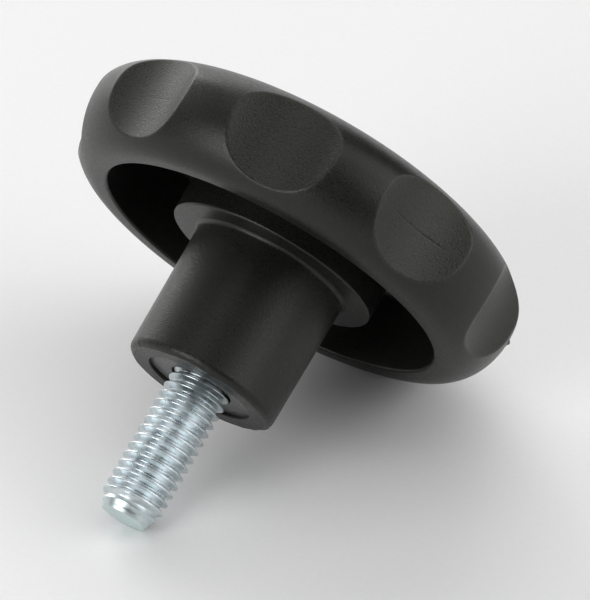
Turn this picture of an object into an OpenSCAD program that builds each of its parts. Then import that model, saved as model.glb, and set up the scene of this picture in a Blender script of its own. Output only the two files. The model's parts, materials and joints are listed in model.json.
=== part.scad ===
// Scalloped hand knob with a moulded-in threaded stud.
// It lies on two lands of its rim and on the tip of the stud, with a scallop facing down.

/* [Rim] */
// Diameter over the lands between the scallops
rim_d = 60; // [54:0.5:80]
// Height from the mouth of the hollow to the widest line of the rim
skirt_h = 7.3; // [5:0.1:10]
// Fullness of the skirt's section: 2 is an ellipse, more is squarer
skirt_fullness = 2; // [1.8:0.1:4]
// Width of the flat ring round the mouth
foot_w = 1.2; // [0.1:0.1:2]
// Height of the crown above the widest line
crown_h = 9; // [8:0.1:14]
// Fullness of the crown's section
crown_fullness = 2.7; // [2:0.1:4]

/* [Scallops] */
// Number of finger scallops round the rim
scallop_count = 9; // [6:1:10]
// Radius of the round tool that sinks one scallop
scallop_r = 14.5; // [10:0.1:18]
// Depth of a scallop below the lands
scallop_depth = 2.5; // [1.5:0.05:3]

/* [Hollow underside] */
// Diameter of the hollow at its mouth
mouth_d = 46; // [42:0.2:47]
// Rounding of the mouth's lip
lip_r = 0.4; // [0.2:0.05:0.8]
// Depth of the hollow below its mouth
hollow_depth = 10.5; // [7:0.1:12]
// Draft of the hollow's wall, in degrees
hollow_draft = 1.5; // [0.5:0.1:3]
// Rounding in the hollow's corners
hollow_fillet = 1.2; // [0.5:0.1:2]

/* [Collar and hub] */
// Diameter of the collar round the foot of the hub
collar_d = 27.6; // [25:0.2:32]
// How far the collar's face lies below the mouth
collar_drop = 0.5; // [0.2:0.1:2]
// Rounding of the collar's edge
collar_round = 0.3; // [0.2:0.1:1.5]
// Diameter of the hub at its end
hub_d = 20; // [18:0.2:23]
// Length of the hub from the mouth to its end
hub_h = 17.4; // [14:0.2:24]
// Draft of the hub, in degrees
hub_draft = 0.6; // [0.2:0.1:1]
// Rounding at the foot of the hub
hub_fillet = 0.6; // [0.3:0.1:1]
// Rounding of the hub's end
hub_round = 1; // [0.3:0.1:1.5]
// Diameter of the sunk face in the hub's end
pocket_d = 14; // [11:0.2:15]
// Depth of the sunk face
pocket_depth = 0.5; // [0.2:0.1:1.6]

/* [Stud] */
// Thread diameter over the crests
stud_d = 8; // [6.5:0.5:9]
// Length of the stud from the sunk face to its tip
stud_len = 19.1; // [15:0.1:40]
// Diameter of the flat at the stud's tip
tip_d = 5.8; // [4:0.1:6.4]
// Length of the chamfer at the tip
tip_chamfer = 2.2; // [0.5:0.1:3]
// Distance from one thread crest to the next
thread_pitch = 1.25; // [1.2:0.05:1.75]
// Height of the thread
thread_depth = 0.77; // [0.3:0.01:0.8]
// Diameter of the plain shank inside the moulding
shank_d = 6.6; // [5:0.1:7.4]
// Length of the stud inside the moulding, with its head
anchor_len = 14; // [12:0.5:16]
// Width across the flats of the moulded-in head
head_af = 13; // [11:0.5:14]
// Height of the moulded-in head
head_h = 5.3; // [3:0.1:6]
// Gap all round the moulded-in stud
insert_gap = 0.03; // [0.01:0.01:0.1]

/* [Hidden] */
$fn = 96;

// Points on each curve of the turned section
crown_steps = 20;
skirt_steps = 18;
round_steps = 6;
// Reach of a cutter past the face that it opens
overcut = 1;
// Angle of a thread flank from square to the axis
flank_angle = 30;
// Sides of the moulded-in head
head_sides = 6;
// Direction of the floor round the knob's own axis
down = -90;
// Halvings in the search for the angle at which the knob lies, and where that search starts
search_steps = 40;
flattest = 1;
steepest = 80;

rim_r = rim_d / 2;
mouth_r = mouth_d / 2;
collar_r = collar_d / 2;
hub_end_r = hub_d / 2;
pocket_r = pocket_d / 2;
stud_r = stud_d / 2;
shank_r = shank_d / 2;
tip_r = tip_d / 2;

// Flat on a thread crest, and the length of a flank
crest_w = thread_pitch / 8;
flank_w = thread_depth * tan(flank_angle);

// Heights along the knob's own axis: 0 at the mouth, plus toward the stud's tip
widest_z = -skirt_h;
crown_z = widest_z - crown_h;
hollow_z = -hollow_depth;
collar_z = -collar_drop;
pocket_z = hub_h - pocket_depth;
tip_z = pocket_z + stud_len;
anchor_z = pocket_z - anchor_len;
chamfer_z = tip_z - tip_chamfer;
rib_count = 1 + floor((chamfer_z - pocket_z - crest_w - flank_w) / thread_pitch);

skirt_w = rim_r - mouth_r - lip_r - foot_w;
hollow_r = mouth_r - hollow_depth * tan(hollow_draft);
hub_foot_r = hub_end_r + (hub_h - collar_z) * tan(hub_draft);
core_r = stud_r - thread_depth;
scallop_floor_r = rim_r - scallop_depth;
scallop_axis_r = scallop_floor_r + scallop_r;

// Quarter of a superellipse from its side to its pole
function quarter(half_w, half_h, fullness, steps) =
    [for (i = [0 : steps])
        let (t = 90 * i / steps)
        [half_w * pow(cos(t), 2 / fullness), half_h * pow(sin(t), 2 / fullness)]];

// Arc about a centre, ends included
function arc(centre, r, from, to) =
    [for (i = [0 : round_steps])
        let (a = from + (to - from) * i / round_steps)
        centre + r * [cos(a), sin(a)]];

// Section of the crown from the widest line to the axis, and of the skirt from the widest line to the foot
crown = [for (p = quarter(rim_r, crown_h, crown_fullness, crown_steps))
    [p[0], widest_z - p[1]]];
skirt = [for (p = quarter(skirt_w, skirt_h, skirt_fullness, skirt_steps))
    [rim_r - skirt_w + p[0], widest_z + p[1]]];
crown_to_widest = [for (i = [crown_steps : -1 : 1]) crown[i]];

body_section = concat(
    crown_to_widest,
    skirt,
    arc([mouth_r + lip_r, -lip_r], lip_r, 90, 180),
    arc([hollow_r - hollow_fillet, hollow_z + hollow_fillet], hollow_fillet, 0, -90),
    arc([collar_r + hollow_fillet, hollow_z + hollow_fillet], hollow_fillet, 270, 180),
    arc([collar_r - collar_round, collar_z - collar_round], collar_round, 0, 90),
    arc([hub_foot_r + hub_fillet, collar_z + hub_fillet], hub_fillet, 270, 180),
    arc([hub_end_r - hub_round, hub_h - hub_round], hub_round, 0, 90),
    [[pocket_r, hub_h], [pocket_r, pocket_z], [0, pocket_z]]
);

// Section of the threaded length: a core that reaches into the shank, with ring ribs at the thread's pitch
thread_section = concat(
    [[0, pocket_z - overcut], [core_r, pocket_z - overcut]],
    [for (i = [rib_count - 1 : -1 : 0])
        let (top = chamfer_z - i * thread_pitch)
        each [
            [core_r, top - crest_w - flank_w],
            [stud_r, top - crest_w],
            [stud_r, top],
            if (i > 0) [core_r, top + flank_w]
        ]],
    [[tip_r, tip_z], [0, tip_z]]
);

// Distance from the axis, toward the floor, of a scallop's edge where the section has radius r
function edge_out(r) =
    r <= scallop_floor_r ? r
    : (scallop_axis_r * scallop_axis_r + r * r - scallop_r * scallop_r) / (2 * scallop_axis_r);

// Reach of the rim and of the tip toward a floor, with the axis sloping down to it at angle a
function rim_reach(a) = max([for (p = skirt) edge_out(p[0]) * cos(a) + p[1] * sin(a)]);
function tip_reach(a) =
    max(stud_r * cos(a) + chamfer_z * sin(a), tip_r * cos(a) + tip_z * sin(a));

// Angle at which rim and tip reach the floor together
function lie_angle(low, high, steps) =
    let (mid = (low + high) / 2)
    steps == 0 ? mid
    : tip_reach(mid) > rim_reach(mid) ? lie_angle(low, mid, steps - 1)
    : lie_angle(mid, high, steps - 1);

lie = lie_angle(flattest, steepest, search_steps);
floor_drop = rim_reach(lie);
crown_reach = max([for (p = crown) edge_out(p[0]) * sin(lie) - p[1] * cos(lie)]);
front_reach =
    max(tip_r * sin(lie) + tip_z * cos(lie), stud_r * sin(lie) + chamfer_z * cos(lie));
middle_y = (crown_reach - front_reach) / 2;

// Lays the knob down: stud toward -Y, lowest points on the floor, outline centred on the origin
module lying() {
    translate([0, -middle_y, floor_drop]) rotate([90 + lie, 0, 0]) children();
}

module scallop_cutters() {
    for (i = [0 : scallop_count - 1])
        rotate([0, 0, down + i * 360 / scallop_count])
            translate([scallop_axis_r, 0, crown_z - overcut])
                cylinder(h = -crown_z + 2 * overcut, r = scallop_r);
}

// Head and shank inside the moulding, grown by a gap on every face
module stud_anchor(gap) {
    translate([0, 0, anchor_z - gap])
        cylinder(h = head_h + 2 * gap, d = (head_af + 2 * gap) / cos(180 / head_sides), $fn = head_sides);
    translate([0, 0, anchor_z])
        cylinder(h = anchor_len + gap, r = shank_r + gap);
}

module knob_body() {
    color("#1c1c1d")
        lying()
            difference() {
                rotate_extrude() polygon(body_section);
                scallop_cutters();
                stud_anchor(insert_gap);
            }
}

module threaded_stud() {
    color("silver")
        lying() {
            stud_anchor(0);
            rotate_extrude() polygon(thread_section);
        }
}

knob_body();
threaded_stud();
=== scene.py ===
"""Scalloped hand knob with a threaded stud.

It lies on two lands of its rim and on the stud's tip, with the hollow side to the camera.
"""

import json
import math

import bmesh
import bpy
from mathutils import Matrix, Quaternion, Vector


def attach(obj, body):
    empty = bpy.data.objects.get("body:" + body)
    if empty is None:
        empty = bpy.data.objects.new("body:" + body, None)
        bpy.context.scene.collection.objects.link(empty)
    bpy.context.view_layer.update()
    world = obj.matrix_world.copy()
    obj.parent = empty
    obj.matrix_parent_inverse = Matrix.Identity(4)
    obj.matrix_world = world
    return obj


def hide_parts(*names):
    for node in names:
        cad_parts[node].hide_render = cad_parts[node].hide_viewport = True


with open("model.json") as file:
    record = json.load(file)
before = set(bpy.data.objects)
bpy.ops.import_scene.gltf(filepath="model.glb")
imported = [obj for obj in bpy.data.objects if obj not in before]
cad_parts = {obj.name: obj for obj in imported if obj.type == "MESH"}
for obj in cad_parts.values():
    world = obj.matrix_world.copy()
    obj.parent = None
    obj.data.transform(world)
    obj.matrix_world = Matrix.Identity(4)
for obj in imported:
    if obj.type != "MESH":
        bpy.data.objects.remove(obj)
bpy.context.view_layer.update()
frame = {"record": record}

# Sizes of the moulding in millimetres, the same as the solids'
RIM_R = 30.0
SKIRT_H = 7.3
SKIRT_FULLNESS = 2.0
FOOT_W = 1.2
CROWN_H = 9.0
CROWN_FULLNESS = 2.7
SCALLOP_COUNT = 9
SCALLOP_R = 14.5
SCALLOP_DEPTH = 2.5
MOUTH_R = 23.0
LIP_R = 0.4
HOLLOW_DEPTH = 10.5
HOLLOW_DRAFT = math.radians(1.5)
HOLLOW_FILLET = 1.2
COLLAR_R = 13.8
COLLAR_DROP = 0.5
COLLAR_ROUND = 0.3
HUB_END_R = 10.0
HUB_H = 17.4
HUB_DRAFT = math.radians(0.6)
HUB_FILLET = 0.6
HUB_ROUND = 1.0
POCKET_R = 7.0
POCKET_DEPTH = 0.5

# Sizes of the stud in millimetres
THREAD_R = 4.0
THREAD_PITCH = 1.25
THREAD_DEPTH = 0.77
STUD_LEN = 19.1
TIP_R = 2.9
TIP_CHAMFER = 2.2
SHANK_R = 3.3
ANCHOR_LEN = 14.0
HEAD_SIDES = 6
HEAD_AF = 13.0
HEAD_H = 5.3

# Heights along the knob's own axis: 0 at the mouth of the hollow, plus toward the stud's tip
WIDEST_Z = -SKIRT_H
CROWN_Z = WIDEST_Z - CROWN_H
HOLLOW_Z = -HOLLOW_DEPTH
COLLAR_Z = -COLLAR_DROP
POCKET_Z = HUB_H - POCKET_DEPTH
TIP_Z = POCKET_Z + STUD_LEN
ANCHOR_Z = POCKET_Z - ANCHOR_LEN
HEAD_Z = ANCHOR_Z + HEAD_H

SKIRT_W = RIM_R - MOUTH_R - LIP_R - FOOT_W
HOLLOW_R = MOUTH_R - HOLLOW_DEPTH * math.tan(HOLLOW_DRAFT)
HUB_FOOT_R = HUB_END_R + (HUB_H - COLLAR_Z) * math.tan(HUB_DRAFT)
SCALLOP_FLOOR_R = RIM_R - SCALLOP_DEPTH
SCALLOP_AXIS_R = SCALLOP_FLOOR_R + SCALLOP_R
HALF_SECTOR = math.pi / SCALLOP_COUNT
# Angle of the first scallop, which faces down
FIRST_SCALLOP = -math.pi / 2

MM = 0.001
# Vertices nearer than this, in metres, are one
WELD = 2e-7
# Columns nearer than this, in radians, are one
SAME_ANGLE = 1e-9
# Points nearer than this to a face or an edge, in millimetres, lie on it
ON_FACE = 0.01
# Faces that meet at more than this angle meet in a sharp edge
SHARP = math.radians(30)

# The knob's own frame in the row frame, from the stud's mount: z along the stud, x level
stud_mount = next(m for m in frame["record"]["mounts"] if m["name"] == "stud")
wall_middle_z = TIP_Z - TIP_CHAMFER - stud_mount["dims"]["length_mm"] / 2
knob_z = Vector(stud_mount["axis"])
knob_x = Vector((1.0, 0.0, 0.0))
knob_y = knob_z.cross(knob_x)
knob_turn = Matrix((knob_x, knob_y, knob_z)).transposed().to_4x4()
mouth_centre = Vector(stud_mount["pos_m"]) - knob_z * wall_middle_z * MM
LYING = Matrix.Translation(mouth_centre) @ knob_turn @ Matrix.Scale(MM, 4)


def new_piece(name, points, faces, marks, material, node, slot):
    """Makes a closed, smooth-shaded piece from points in the knob's own frame, in place of a CAD node.

    marks holds named lists with one number per point, which the material reads as attributes.
    """
    mesh = bpy.data.meshes.new(name)
    mesh.from_pydata([LYING @ Vector(p) for p in points], [], faces)
    for mark, values in marks.items():
        mesh.attributes.new(mark, "FLOAT", "POINT").data.foreach_set("value", values)
    shell = bmesh.new()
    shell.from_mesh(mesh)
    bmesh.ops.remove_doubles(shell, verts=shell.verts, dist=WELD)
    bmesh.ops.dissolve_degenerate(shell, edges=shell.edges, dist=WELD)
    bmesh.ops.recalc_face_normals(shell, faces=shell.faces)
    shell.to_mesh(mesh)
    shell.free()
    mesh.shade_smooth()
    mesh.set_sharp_from_angle(angle=SHARP)
    mesh.materials.append(material)
    piece = bpy.data.objects.new(name, mesh)
    bpy.context.scene.collection.objects.link(piece)
    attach(piece, "root")
    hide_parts(node)


def ring_faces(low, high):
    """Faces between two rings of vertex numbers.

    Where a ring repeats a vertex, its quads close to triangles.
    """
    faces = []
    for i in range(len(low)):
        j = (i + 1) % len(low)
        corners = list(dict.fromkeys((low[i], low[j], high[j], high[i])))
        if len(corners) > 2:
            faces.append(corners)
    return faces


# Turned section of the moulding

OUTLINE_STEPS = 300
ARC_STEPS = 8


def quarter(half_w, half_h, fullness):
    """Quarter of a superellipse from its side to its pole."""
    angles = [math.pi / 2 * i / OUTLINE_STEPS for i in range(OUTLINE_STEPS + 1)]
    power = 2 / fullness
    return [(half_w * abs(math.cos(t)) ** power, half_h * math.sin(t) ** power) for t in angles]


def arc(centre_r, centre_z, radius, start, end, steps=ARC_STEPS):
    """Arc of the section about a centre, angles in degrees, ends included."""
    angles = [math.radians(start + (end - start) * i / steps) for i in range(steps + 1)]
    return [(centre_r + radius * math.cos(a), centre_z + radius * math.sin(a)) for a in angles]


class Path:
    """A polyline of the section, measured along its length."""

    def __init__(self, points):
        self.points = points
        self.lengths = [0.0]
        for a, b in zip(points, points[1:]):
            self.lengths.append(self.lengths[-1] + math.dist(a, b))

    def at(self, length):
        """Radius and height at a length from the start."""
        length = min(max(length, 0.0), self.lengths[-1])
        i = next(n for n in range(1, len(self.lengths)) if self.lengths[n] >= length)
        share = (length - self.lengths[i - 1]) / (self.lengths[i] - self.lengths[i - 1])
        (r0, z0), (r1, z1) = self.points[i - 1], self.points[i]
        return r0 + (r1 - r0) * share, z0 + (z1 - z0) * share

    def crossings(self, radius):
        """Lengths at which the path passes a radius."""
        found = []
        for i in range(1, len(self.points)):
            r0, r1 = self.points[i - 1][0], self.points[i][0]
            if (r0 - radius) * (r1 - radius) < 0:
                share = (radius - r0) / (r1 - r0)
                found.append(self.lengths[i - 1] + share * (self.lengths[i] - self.lengths[i - 1]))
        return found


# Outside from the crown to the foot, and the lengths on it between which the scallops lie
crown = [(r, WIDEST_Z - h) for r, h in quarter(RIM_R, CROWN_H, CROWN_FULLNESS)]
skirt = [(RIM_R - SKIRT_W + w, WIDEST_Z + h) for w, h in quarter(SKIRT_W, SKIRT_H, SKIRT_FULLNESS)]
outside = Path(crown[::-1] + skirt[1:])
crown_end, skirt_end = outside.crossings(SCALLOP_FLOOR_R)

# Rounding of the hub's end: its centre in the section, and the fine line of flash on it, with the line's
# ends and top in degrees on the rounding, and its height
HUB_ROUND_CENTRE = (HUB_END_R - HUB_ROUND, HUB_H - HUB_ROUND)
LINE_START = 72.0
LINE_TOP = (75.0, 81.0)
LINE_END = 84.0
LINE_HEIGHT = 0.05

# Hole round the stud in the sunk face, the gap round its hidden end, and the roundings of the edges
STUD_HOLE_R = 4.12
STUD_HOLE_DEPTH = 1.4
STUD_HOLE_BEVEL = 0.03
STUD_GAP = 0.05
POCKET_ROUND = 0.15
POCKET_CORNER = 0.05
HOLE_FLOOR_Z = POCKET_Z - STUD_HOLE_DEPTH
SHANK_HOLE_R = SHANK_R + STUD_GAP
HEAD_HOLE_R = HEAD_AF / 2 / math.cos(math.pi / HEAD_SIDES) + STUD_GAP
HEAD_HOLE_TOP_Z = HEAD_Z + STUD_GAP
HEAD_HOLE_Z = ANCHOR_Z - STUD_GAP

# Inside from the lip to the floor of the hole for the stud's head
inside = (
    arc(MOUTH_R + LIP_R, -LIP_R, LIP_R, 90, 180)
    + arc(HOLLOW_R - HOLLOW_FILLET, HOLLOW_Z + HOLLOW_FILLET, HOLLOW_FILLET, 0, -90)
    + arc(COLLAR_R + HOLLOW_FILLET, HOLLOW_Z + HOLLOW_FILLET, HOLLOW_FILLET, 270, 180)
    + arc(COLLAR_R - COLLAR_ROUND, COLLAR_Z - COLLAR_ROUND, COLLAR_ROUND, 0, 90)
    + arc(HUB_FOOT_R + HUB_FILLET, COLLAR_Z + HUB_FILLET, HUB_FILLET, 270, 180)
    + arc(*HUB_ROUND_CENTRE, HUB_ROUND, 0, LINE_START)
    + arc(*HUB_ROUND_CENTRE, HUB_ROUND + LINE_HEIGHT, *LINE_TOP, steps=1)
    + arc(*HUB_ROUND_CENTRE, HUB_ROUND, LINE_END, 90, steps=2)
    + arc(POCKET_R + POCKET_ROUND, HUB_H - POCKET_ROUND, POCKET_ROUND, 90, 180, steps=3)
    + [
        (POCKET_R, POCKET_Z + POCKET_CORNER),
        (POCKET_R - POCKET_CORNER, POCKET_Z),
        (STUD_HOLE_R + STUD_HOLE_BEVEL, POCKET_Z),
        (STUD_HOLE_R, POCKET_Z - STUD_HOLE_BEVEL),
        (STUD_HOLE_R, HOLE_FLOOR_Z),
        (SHANK_HOLE_R, HOLE_FLOOR_Z),
        (SHANK_HOLE_R, HEAD_HOLE_TOP_Z),
        (HEAD_HOLE_R, HEAD_HOLE_TOP_Z),
        (HEAD_HOLE_R, HEAD_HOLE_Z),
    ]
)

# Scallops of the moulding: their softened edges, and how pale the highlight painted along those is

EDGE_ROUND = 0.2
SCALLOP_EDGE_HIGHLIGHT = 0.15


def scallop_reach(offset):
    """Distance from the axis to a scallop's floor, at an angle from the scallop's middle."""
    side = SCALLOP_AXIS_R * math.sin(offset)
    if abs(side) >= SCALLOP_R:
        return math.inf
    return SCALLOP_AXIS_R * math.cos(offset) - math.sqrt(SCALLOP_R ** 2 - side ** 2)


def crease_offset(r):
    """Angle from a scallop's middle to its edge, where the section has radius r."""
    if r <= SCALLOP_FLOOR_R:
        return 0.0
    cosine = (SCALLOP_AXIS_R ** 2 + r ** 2 - SCALLOP_R ** 2) / (2 * SCALLOP_AXIS_R * r)
    return math.acos(min(cosine, 1.0))


def rounded_min(a, b, band):
    """The lesser of two lengths, rounded off where they come within the band of each other."""
    near = max(band - abs(a - b), 0.0)
    return min(a, b) - near * near / (4 * band)


# Marks that the mould left

# Witness of the parting line, a fine groove on some scallop floors: its height and half width, the share
# of its length over which each end fades, and how uneven its depth is
PARTING_Z = -6.8
PARTING_HALF_W = 0.07
PARTING_FADE = 1 / 8
PARTING_MEAN = 0.65
PARTING_SWING = 0.35
PARTING_WAVES = (19, 7)
PARTING_SHIFT = 1
# For each marked scallop: the angles from its middle, in degrees, where the groove starts and ends,
# and its depth
PARTING_MARKS = {
    0: (-6.0, 8.0, 0.05),
    3: (-10.5, 8.5, 0.07),
    5: (-9.0, 4.0, 0.025),
    7: (-9.0, 1.0, 0.04),
}

# Flash nub on the parting line of one land: its angle in degrees, its height, half length and half width
NUB_PLACE = -28.0
NUB_HEIGHT = 0.3
NUB_HALF_L = 0.65
NUB_HALF_W = 0.28

# Flash on the rounding of the hub's end: how far it reaches below the end and stays inside the wall,
# its mean height, and how uneven that is
FLASH_DROP = 0.8
FLASH_INSET = 0.1
FLASH_HEIGHT = 0.012
FLASH_WAVES = (17, 29)
FLASH_SHIFTS = (0, 1)
# Bits of flash that stand out: angle in degrees, height and half length of each
FLASH_BITS = [
    (-46.0, 0.08, 0.2),
    (-42.0, 0.1, 0.25),
    (-58.0, 0.09, 0.25),
    (-72.0, 0.06, 0.3),
    (128.0, 0.05, 0.5),
]

# How pale the highlight painted on the line of flash is, and how uneven that is
LINE_HIGHLIGHT = 0.6
LINE_HIGHLIGHT_SWING = 0.4
LINE_WAVES = (5, 13)
LINE_SHIFTS = (0, 2)


def bell(distance, half_w):
    """1 at no distance, falling softly to nothing."""
    return math.exp(-(distance / half_w) ** 2)


def ripple(at, waves, shifts):
    """Uneven wave between -1 and 1: a product of sines."""
    return math.prod(math.sin(wave * at + shift) for wave, shift in zip(waves, shifts))


def along_ring(r, angle, place):
    """Length on a ring of radius r from a place, in degrees, to an angle."""
    return r * math.remainder(angle - math.radians(place), 2 * math.pi)


def parting_groove(scallop, offset, z):
    """Depth of the parting witness on a scallop's floor."""
    if scallop not in PARTING_MARKS:
        return 0.0
    start, end, depth = PARTING_MARKS[scallop]
    share = (math.degrees(offset) - start) / (end - start)
    if not 0 < share < 1:
        return 0.0
    uneven = PARTING_MEAN + PARTING_SWING * ripple(share, PARTING_WAVES, (scallop, PARTING_SHIFT))
    fade = min(1, share / PARTING_FADE, (1 - share) / PARTING_FADE)
    return depth * uneven * fade * bell(z - PARTING_Z, PARTING_HALF_W)


def nub_rise(angle, r, z):
    """Height of the flash nub on the rim."""
    return NUB_HEIGHT * bell(along_ring(r, angle, NUB_PLACE), NUB_HALF_L) * bell(z - PARTING_Z, NUB_HALF_W)


def flash_rise(angle, r):
    """Height of the flash on the rounding of the hub's end."""
    rise = FLASH_HEIGHT * (1 + ripple(angle, FLASH_WAVES, FLASH_SHIFTS))
    for place, height, half_l in FLASH_BITS:
        rise += height * bell(along_ring(r, angle, place), half_l)
    return rise


def line_highlight(angle):
    """How pale the highlight painted on the line of flash is at an angle."""
    return LINE_HIGHLIGHT + LINE_HIGHLIGHT_SWING * ripple(angle, LINE_WAVES, LINE_SHIFTS)


# Grid of the moulding: its columns gather at the scallops' edges, on the scallops and within reach of them

LAND_COLUMNS = 16
SCALLOP_COLUMNS = 36
CROWN_ROWS = 26
SCALLOP_ROWS = 56
SKIRT_ROWS = 14
SKIRT_GATHER = 1.5
EDGE_GATHER = 2.2
GATHER_REACH = 4.0
# Rows at the parting line, and how far other rows stay off it, in its half widths
PARTING_ROWS = (-2, -1.2, -0.6, 0, 0.6, 1.2, 2)
PARTING_CLEAR = 2.5
# Attributes of the moulding's points: the scallops' floors, the painted highlight on edges, and the painted
# reflection on the sunk face
BODY_MARKS = ("scallop_floor", "worn_edge", "sunk_face")


def ease_out(share):
    """Share that grows fast at first and slows toward 1."""
    return 1 - (1 - share) ** 2


def column_offsets(crease, gather):
    """Angles of one sector's columns from the scallop's middle, from land to land."""
    land_shares = [i / LAND_COLUMNS for i in range(LAND_COLUMNS + 1)]
    land = [crease + (HALF_SECTOR - crease) * share ** gather for share in land_shares]
    half = SCALLOP_COLUMNS // 2
    hollow = [crease * ease_out(i / half) for i in range(half)]
    left = [-a for a in land[::-1] + hollow[:0:-1]]
    return left + hollow + land[:-1]


def scallop_rows():
    """Lengths along the section of the rows on the scallops, with extra rows at the parting line."""
    span = skirt_end - crown_end
    swings = [math.cos(math.pi * i / SCALLOP_ROWS) for i in range(SCALLOP_ROWS + 1)]
    rows = [crown_end + span * (1 - swing) / 2 for swing in swings]
    widest = outside.lengths[OUTLINE_STEPS]
    parting = widest + PARTING_Z - WIDEST_Z
    extra = [parting + PARTING_HALF_W * step for step in PARTING_ROWS]
    kept = [length for length in rows if abs(length - parting) > PARTING_CLEAR * PARTING_HALF_W]
    return sorted(kept + extra)


def outer_vertex(scallop, offset, angle, r, z):
    """Radius, height and marks of a point outside, at an offset from its scallop's middle."""
    sunk = scallop_reach(offset)
    reach = rounded_min(r, sunk, EDGE_ROUND) + nub_rise(angle, r, z)
    if sunk < r:
        reach -= parting_groove(scallop, offset, z)
    floor_share = min(max((r - sunk) / EDGE_ROUND, 0.0), 1.0)
    # Pale colour painted along the scallop's edge, as a highlight
    highlight = SCALLOP_EDGE_HIGHLIGHT * bell(r - sunk, EDGE_ROUND)
    return reach, z, {"scallop_floor": floor_share, "worn_edge": highlight}


def inner_vertex(angle, r, z):
    """Radius, height and marks of a point inside. The rounding of the hub's end has flash on it."""
    # The sunk face is marked for its painted reflection of the bright floor
    if abs(z - POCKET_Z) < ON_FACE:
        return r, z, {"sunk_face": 1.0}
    if z <= HUB_H - FLASH_DROP or not HUB_END_R - HUB_ROUND < r < HUB_END_R - FLASH_INSET:
        return r, z, {}
    rise = flash_rise(angle, r)
    # Points on the line of flash get a painted highlight
    on_line = math.dist((r, z), HUB_ROUND_CENTRE) > HUB_ROUND + LINE_HEIGHT / 2
    return r + rise, z + rise / 2, {"worn_edge": line_highlight(angle) if on_line else 0.0}


def body_mesh():
    """Points, faces and marks of the moulding."""
    points = []
    rings = []
    marks = {name: [] for name in BODY_MARKS}

    def add_point(point, shares):
        """Adds a point with its marks, and gives its number."""
        points.append(point)
        for name, values in marks.items():
            values.append(shares.get(name, 0.0))
        return len(points) - 1

    def add_row(r, z, distance, scalloped=False, inner=False):
        """One ring of the grid. distance is how far it is from the scallops' ends along the section."""
        crease = crease_offset(r) if scalloped else 0.0
        gather = 1 + (EDGE_GATHER - 1) * max(0.0, 1 - distance / GATHER_REACH)
        ring = []
        for scallop in range(SCALLOP_COUNT):
            middle = FIRST_SCALLOP + scallop * 2 * HALF_SECTOR
            last = None
            for offset in column_offsets(crease, gather):
                if last is not None and abs(offset - last) < SAME_ANGLE:
                    ring.append(ring[-1])
                    continue
                last = offset
                angle = middle + offset
                if inner:
                    reach, height, shares = inner_vertex(angle, r, z)
                else:
                    reach, height, shares = outer_vertex(scallop, offset, angle, r, z)
                point = (reach * math.cos(angle), reach * math.sin(angle), height)
                ring.append(add_point(point, shares))
        rings.append(ring)

    for i in range(1, CROWN_ROWS):
        length = crown_end * ease_out(i / CROWN_ROWS)
        add_row(*outside.at(length), crown_end - length)
    for length in scallop_rows():
        add_row(*outside.at(length), 0.0, scalloped=crown_end < length < skirt_end)
    for i in range(1, SKIRT_ROWS + 1):
        length = skirt_end + (outside.lengths[-1] - skirt_end) * (i / SKIRT_ROWS) ** SKIRT_GATHER
        add_row(*outside.at(length), length - skirt_end)
    for r, z in inside:
        add_row(r, z, GATHER_REACH, inner=True)

    faces = []
    for low, high in zip(rings, rings[1:]):
        faces += ring_faces(low, high)
    for ring, z in ((rings[0], CROWN_Z), (rings[-1], HEAD_HOLE_Z)):
        pole = add_point((0.0, 0.0, z), {})
        faces += ring_faces([pole] * len(ring), ring)
    return points, faces, marks


# Thread of the stud: the rows of its grid follow the helix

THREAD_COLUMNS = 96
# Share of a turn by which the helix is shifted
THREAD_PHASE = 0.2
# Flat and rounding of a crest, and width of a root
CREST_W = THREAD_PITCH / 8
CREST_ROUND = 0.03
ROOT_W = THREAD_PITCH / 4
# Rise of a flank's foot above the root, and the place and rise of the step between the two
FLANK_FOOT_RISE = 0.12
ROOT_STEP_SHARE = 0.04
ROOT_STEP_RISE = 0.03
# Plain shank in the hole below the thread's foot, and the length over which the thread grows out of it
SHANK_SHOW = 0.2
RUNOUT = 0.5
THREAD_FOOT_Z = HOLE_FLOOR_Z + SHANK_SHOW
# Turns below the foot: their rows fall together there and close the mesh
EXTRA_TURNS = 2
# Plain length at the tip, and the margin of the end face over which its dullness comes in
PLAIN_END = 0.4
END_MARGIN = 0.05
# Dullness of the chamfer's end beside that of the end face
CHAMFER_DULLNESS = 0.45


def thread_profile():
    """Share of the pitch and radius of each row over one pitch, from the middle of a crest."""
    root_r = THREAD_R - THREAD_DEPTH
    crest = CREST_W / 2 / THREAD_PITCH
    root = 0.5 - ROOT_W / 2 / THREAD_PITCH
    soft = CREST_ROUND / THREAD_PITCH
    half = [
        (crest - soft, THREAD_R),
        (crest + soft, THREAD_R - CREST_ROUND),
        (root - soft, root_r + FLANK_FOOT_RISE),
        (root + ROOT_STEP_SHARE, root_r + ROOT_STEP_RISE),
    ]
    other = [(1 - share, r) for share, r in half[::-1]]
    return half + [(0.5, root_r)] + other


def tip_dullness(x, y, z):
    """How dull the cut tip of the stud is at a point: full on its end face, less up the chamfer."""
    if z > TIP_Z - ON_FACE and math.hypot(x, y) < TIP_R - ON_FACE:
        return 1.0
    return CHAMFER_DULLNESS * min(max(1 + (z - TIP_Z) / TIP_CHAMFER, 0.0), 1.0)


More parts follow.
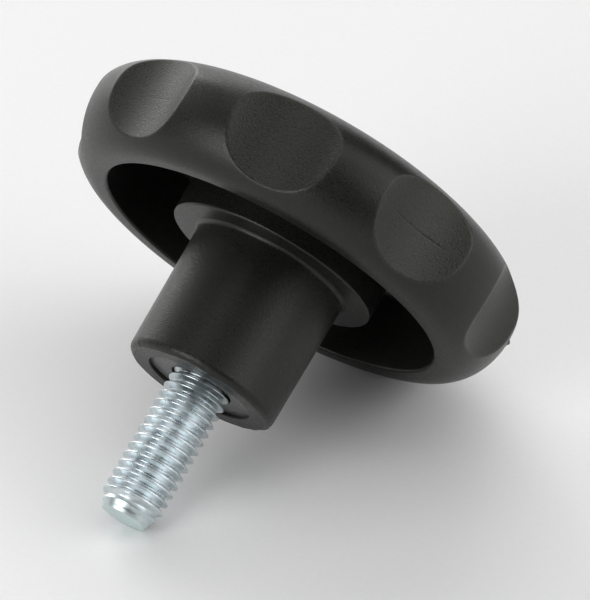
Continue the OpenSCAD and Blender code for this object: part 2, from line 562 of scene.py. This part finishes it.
def stud_mesh():
    """Points, faces and marks of the stud: head, shank, thread and chamfered tip."""
    points = []

    def add_ring(place):
        """One ring of vertices. place gives radius and height at an angle."""
        ring = []
        for i in range(THREAD_COLUMNS):
            angle = 2 * math.pi * i / THREAD_COLUMNS
            r, z = place(angle)
            points.append((r * math.cos(angle), r * math.sin(angle), z))
            ring.append(len(points) - 1)
        return ring

    def plain(r, z):
        """Round, level ring."""
        return add_ring(lambda angle: (r, z))

    def head_row(z):
        """Level ring on the flat sides of the head."""
        side = 2 * math.pi / HEAD_SIDES

        def place(angle):
            from_flat = (angle + side / 2) % side - side / 2
            return HEAD_AF / 2 / math.cos(from_flat), z

        return add_ring(place)

    def thread_row(turn, share, r):
        """Ring that climbs one pitch, held between the thread's foot and the tip."""

        def place(angle):
            z = THREAD_FOOT_Z + THREAD_PITCH * (turn + share + angle / (2 * math.pi) + THREAD_PHASE)
            z = min(max(z, THREAD_FOOT_Z), TIP_Z)
            blank = min(THREAD_R, TIP_R + (TIP_Z - z) * (THREAD_R - TIP_R) / TIP_CHAMFER)
            depth = (THREAD_R - r) * min(max((TIP_Z - z - PLAIN_END) / TIP_CHAMFER, 0), 1)
            return SHANK_R + (blank - depth - SHANK_R) * min((z - THREAD_FOOT_Z) / RUNOUT, 1), z

        return add_ring(place)

    anchor = [
        plain(0, ANCHOR_Z),
        head_row(ANCHOR_Z),
        head_row(HEAD_Z),
        plain(SHANK_R, HEAD_Z),
        plain(SHANK_R, THREAD_FOOT_Z),
    ]
    end = [plain(TIP_R, TIP_Z), plain(TIP_R - END_MARGIN, TIP_Z), plain(0, TIP_Z)]
    faces = []
    for rings in (anchor, end):
        for low, high in zip(rings, rings[1:]):
            faces += ring_faces(low, high)

    profile = thread_profile()
    turns = math.ceil((TIP_Z - THREAD_FOOT_Z) / THREAD_PITCH) + 1
    rows = [thread_row(turn, share, r) for turn in range(-EXTRA_TURNS, turns) for share, r in profile]
    # A row's end meets the start of the same row one turn on
    for n in range(len(rows) - 1 - len(profile)):
        low, high = rows[n], rows[n + 1]
        next_low, next_high = rows[n + len(profile)], rows[n + 1 + len(profile)]
        faces += zip(low, low[1:] + next_low[:1], high[1:] + next_high[:1], high)
    return points, faces, {"cut_tip": [tip_dullness(*p) for p in points]}


# Materials

# Factors between which most of a noise lies, and those for the paler grain of the scallops' floors
NOISE_SPAN = (0.3, 0.7)
SCALLOP_SPAN = (0.35, 0.75)
# Darkest and lightest colour of each surface
RIM_TONES = ((0.0035, 0.0038, 0.0033), (0.0105, 0.0108, 0.0096))
SCALLOP_TONES = ((0.005, 0.005, 0.0042), (0.024, 0.0235, 0.02))
# Pale colours painted as a highlight on the scallops' edges and on the line of flash
EDGE_HIGHLIGHT_TONES = ((0.03, 0.031, 0.029), (0.1, 0.102, 0.096))
# Pale grey painted on the sunk face, as a reflection of the bright floor
SUNK_REFLECTION_TONES = ((0.06, 0.063, 0.061), (0.1, 0.103, 0.1))
ZINC_TONES = ((0.5, 0.56, 0.585), (0.74, 0.8, 0.825))
CUT_TONES = ((0.6, 0.7, 0.69), (0.7, 0.79, 0.78))
PAPER_TONES = ((0.76, 0.76, 0.76), (0.78, 0.78, 0.78))
PLASTIC_SHEEN = (0.98, 1.0, 0.92, 1)
# Sockets of the mix node that hold colours
MIX_A = 6
MIX_B = 7
MIX_RESULT = 2


class Finish:
    """A material in the making. Its methods add nodes and give their outputs."""

    def __init__(self, name):
        self.material = bpy.data.materials.new(name)
        self.material.use_nodes = True
        self.nodes = self.material.node_tree.nodes
        self.links = self.material.node_tree.links
        self.shader = self.nodes["Principled BSDF"].inputs
        self.place = self.nodes.new("ShaderNodeTexCoord").outputs["Object"]

    def feed(self, sockets, values):
        """Gives each named socket its value: a number, or another node's output."""
        for name, value in values.items():
            if isinstance(value, bpy.types.NodeSocket):
                self.links.new(value, sockets[name])
            else:
                sockets[name].default_value = value

    def noise(self, grain_mm, detail, roughness=0.6):
        """Noise of a given grain size."""
        node = self.nodes.new("ShaderNodeTexNoise")
        values = {
            "Vector": self.place,
            "Scale": 1 / (grain_mm * MM),
            "Detail": detail,
            "Roughness": roughness,
        }
        self.feed(node.inputs, values)
        return node.outputs["Fac"]

    def spread(self, noise, low, high):
        """Spreads a noise over a range of values."""
        node = self.nodes.new("ShaderNodeMapRange")
        values = {
            "Value": noise,
            "From Min": NOISE_SPAN[0],
            "From Max": NOISE_SPAN[1],
            "To Min": low,
            "To Max": high,
        }
        self.feed(node.inputs, values)
        return node.outputs["Result"]

    def tones(self, noise, pair, span=NOISE_SPAN):
        """Spreads a noise over two colours."""
        node = self.nodes.new("ShaderNodeValToRGB")
        for element, position, colour in zip(node.color_ramp.elements, span, pair):
            element.position = position
            element.color = (*colour, 1)
        self.feed(node.inputs, {"Fac": noise})
        return node.outputs["Color"]

    def mark(self, name):
        """A number that the mesh holds for each point."""
        node = self.nodes.new("ShaderNodeAttribute")
        node.attribute_name = name
        return node.outputs["Fac"]

    def mix(self, factor, a, b):
        """Mixes two colours by a factor."""
        node = self.nodes.new("ShaderNodeMix")
        node.data_type = "RGBA"
        self.feed(node.inputs, {"Factor": factor, MIX_A: a, MIX_B: b})
        return node.outputs[MIX_RESULT]

    def lift(self, value, mark, amount):
        """Raises a value by an amount where the mesh is marked."""
        node = self.nodes.new("ShaderNodeMath")
        node.operation = "MULTIPLY_ADD"
        self.feed(node.inputs, {0: mark, 1: amount, 2: value})
        return node.outputs["Value"]

    def bump(self, noise, depth_mm, strength, under=None):
        """Bump of a given depth, on top of another one.

        strength is a number, or a mark that says where it is full.
        """
        node = self.nodes.new("ShaderNodeBump")
        self.feed(node.inputs, {"Height": noise, "Distance": depth_mm * MM, "Strength": strength})
        if under is not None:
            self.feed(node.inputs, {"Normal": under})
        return node.outputs["Normal"]


def plastic_material():
    """Black moulded plastic: a fine matt grain, stronger on the scallops' floors, a painted highlight on
    the edges, and a painted reflection on the sunk face.
    """
    finish = Finish("black_moulded_plastic")
    fine = finish.noise(grain_mm=0.19, detail=2.0)
    coarse = finish.noise(grain_mm=0.23, detail=2.0)
    blotch = finish.noise(grain_mm=3.0, detail=3.0, roughness=0.55)
    scallop_floor = finish.mark("scallop_floor")
    colour = finish.tones(fine, RIM_TONES)
    colour = finish.mix(scallop_floor, colour, finish.tones(fine, SCALLOP_TONES, SCALLOP_SPAN))
    # Painted highlight on the scallops' edges and on the line of flash
    colour = finish.mix(finish.mark("worn_edge"), colour, finish.tones(fine, EDGE_HIGHLIGHT_TONES))
    # Painted reflection of the bright floor on the sunk face
    colour = finish.mix(finish.mark("sunk_face"), colour, finish.tones(fine, SUNK_REFLECTION_TONES))
    roughness = finish.spread(fine, low=0.24, high=0.46)
    soft = finish.bump(blotch, depth_mm=0.05, strength=0.15)
    grain = finish.bump(fine, depth_mm=0.045, strength=0.8, under=soft)
    normal = finish.bump(coarse, depth_mm=0.05, strength=scallop_floor, under=grain)
    finish.feed(finish.shader, {"Base Color": colour, "Roughness": roughness, "Normal": normal})
    finish.shader["Specular Tint"].default_value = PLASTIC_SHEEN
    finish.shader["Specular IOR Level"].default_value = 0.35
    return finish.material


def zinc_material():
    """Bright zinc plate on steel, faintly clouded, and duller on the cut tip."""
    finish = Finish("bright_zinc_plate")
    fine = finish.noise(grain_mm=0.15, detail=3.0)
    cloud = finish.noise(grain_mm=1.6, detail=3.0)
    cut_tip = finish.mark("cut_tip")
    colour = finish.mix(cut_tip, finish.tones(cloud, ZINC_TONES), finish.tones(cloud, CUT_TONES))
    roughness = finish.lift(finish.spread(cloud, low=0.22, high=0.36), cut_tip, amount=0.3)
    normal = finish.bump(fine, depth_mm=0.015, strength=0.5)
    finish.feed(finish.shader, {"Base Color": colour, "Roughness": roughness, "Normal": normal})
    finish.shader["Metallic"].default_value = 1.0
    return finish.material


def floor_material():
    """Pale, smooth paper."""
    finish = Finish("pale_floor")
    fibre = finish.noise(grain_mm=0.8, detail=3.0)
    roughness = finish.spread(fibre, low=0.55, high=0.65)
    finish.feed(finish.shader, {"Base Color": finish.tones(fibre, PAPER_TONES), "Roughness": roughness})
    return finish.material


new_piece("knob_moulding", *body_mesh(), plastic_material(), "knob_body", "black_plastic")
new_piece("threaded_stud_steel", *stud_mesh(), zinc_material(), "threaded_stud", "zinc_steel")

# Floor, light and camera

# Side of the floor in metres, and strength of the light from all round
FLOOR_SIZE = 4.0
AMBIENT = 0.1

# The view of the photograph: the camera's place round its target, in metres, and its lens in millimetres
VIEW_AZIMUTH = math.radians(37.558)
VIEW_ELEVATION = math.radians(32.656)
VIEW_ROLL = math.radians(-1.441)
VIEW_DISTANCE = 0.51682
VIEW_TARGET = Vector((0.003743, 0.003377, 0.019123))
VIEW_LENS = 252.0
VIEW_CLIP = 0.01

# Softboxes round the knob: azimuth from the camera's side and elevation in degrees, and power in watts
SOFTBOXES = {
    "left_back": (-150, 20, 24.0),
    "left_low": (-115, 20, 5.2),
    "left_high": (-115, 50, 3.4),
    "left_front": (-48, 20, 32.0),
    "right_front_low": (60, 20, 13.8),
    "right_front_high": (60, 50, 5.8),
    "right_low": (95, 20, 13.0),
    "right_high": (95, 50, 5.4),
    "back_low": (180, 20, 11.0),
    "back_high": (180, 50, 9.4),
    "top": (0, 86, 12.0),
}
# Side and distance of each, in metres
SOFTBOX_SIZE = 1.5
SOFTBOX_DISTANCE = 2.4


def aim(data, azimuth, elevation, distance):
    """Sets a lamp or a camera at a place round the knob, looking at it."""
    level = math.cos(elevation)
    away = Vector((math.sin(azimuth) * level, -math.cos(azimuth) * level, math.sin(elevation)))
    aimed = bpy.data.objects.new(data.name, data)
    bpy.context.scene.collection.objects.link(aimed)
    aimed.location = VIEW_TARGET + away * distance
    aimed.rotation_mode = "QUATERNION"
    aimed.rotation_quaternion = (-away).to_track_quat("-Z", "Y")
    return aimed


bpy.ops.mesh.primitive_plane_add(size=FLOOR_SIZE)
floor = bpy.context.object
floor.name = "floor"
floor.data.materials.append(floor_material())

world = bpy.data.worlds.new("studio")
world.use_nodes = True
background = world.node_tree.nodes["Background"].inputs
background["Color"].default_value = (1.0, 1.0, 1.0, 1)
background["Strength"].default_value = AMBIENT
bpy.context.scene.world = world

for name, (azimuth, elevation, power) in SOFTBOXES.items():
    lamp = bpy.data.lights.new(name, "AREA")
    lamp.size = SOFTBOX_SIZE
    lamp.energy = power
    aim(lamp, VIEW_AZIMUTH + math.radians(azimuth), math.radians(elevation), SOFTBOX_DISTANCE)

camera_data = bpy.data.cameras.new("camera")
camera_data.lens = VIEW_LENS
camera_data.clip_start = VIEW_CLIP
camera = aim(camera_data, VIEW_AZIMUTH, VIEW_ELEVATION, VIEW_DISTANCE)
camera.rotation_quaternion = camera.rotation_quaternion @ Quaternion((0, 0, 1), VIEW_ROLL)
bpy.context.scene.camera = camera
bpy.context.scene.view_settings.view_transform = "Standard"
